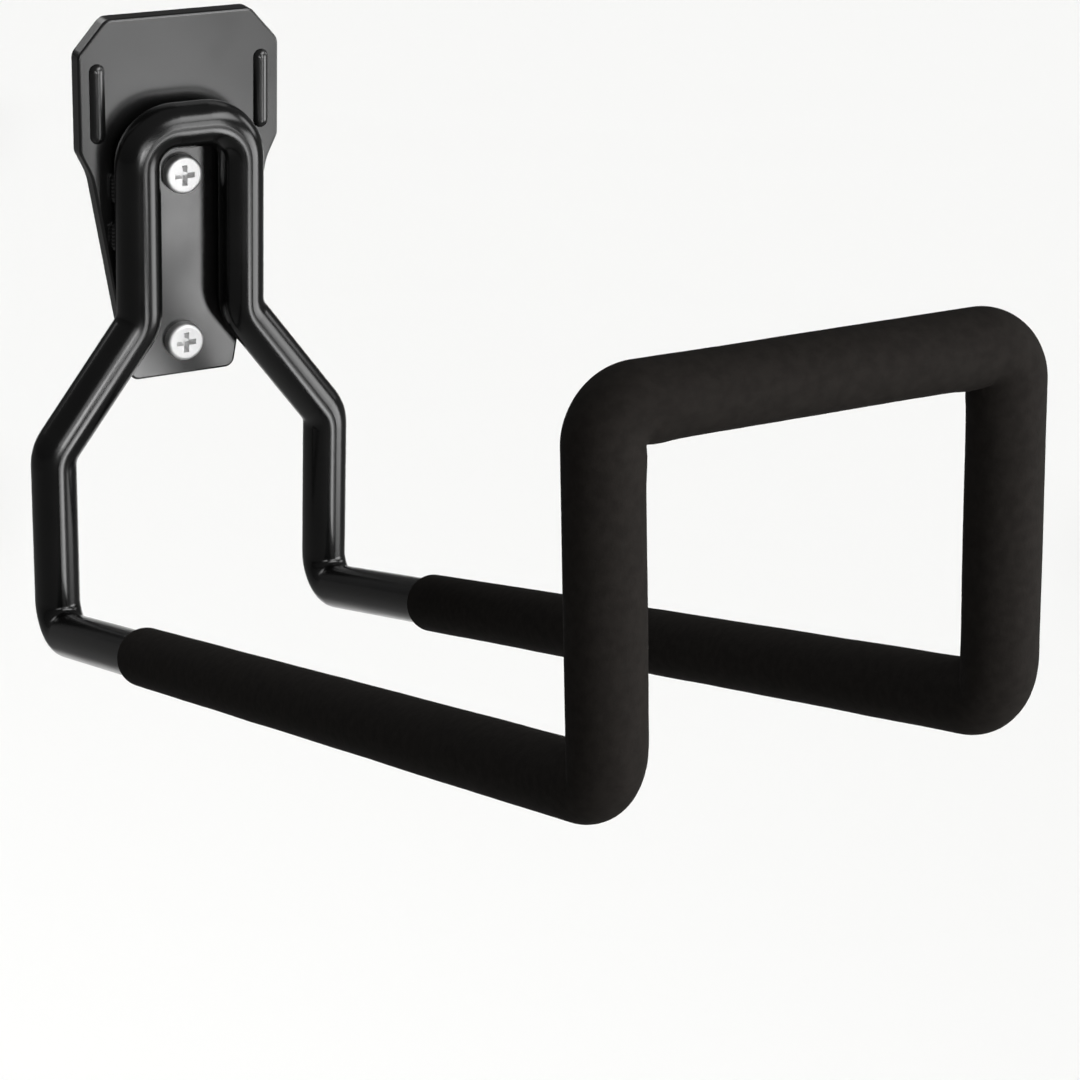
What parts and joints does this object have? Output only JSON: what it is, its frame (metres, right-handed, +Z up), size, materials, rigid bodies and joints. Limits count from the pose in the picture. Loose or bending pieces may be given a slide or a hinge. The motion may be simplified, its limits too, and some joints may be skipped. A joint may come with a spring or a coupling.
{
  "type": "hose hanger",
  "caption": "Wall hanger for a coiled hose: a steel tube bent into one loop, welded to a pressed wall plate, with rising arms and an upright front loop sleeved in foam.",
  "frame": {"origin": "on the wall plane, midway between the two screws", "axes": "+Y into the wall, square to the plate's back; +Z up; +X to the right as seen from the front; the arms reach towards -Y"},
  "size_m": [0.1098, 0.3666, 0.1922],
  "materials": {
    "plate_coat": "satin black powder coat",
    "tube_coat": "gloss black powder coat",
    "foam": "matt charcoal closed-cell foam",
    "screw_steel": "bright zinc plate"
  },
  "bodies": {
    "root": {"wall_plate": "plate_coat", "hook_tube": "tube_coat", "foam_sleeve": "foam", "wall_screws": "screw_steel", "weld_seams": "tube_coat"}
  },
  "joints": []
}
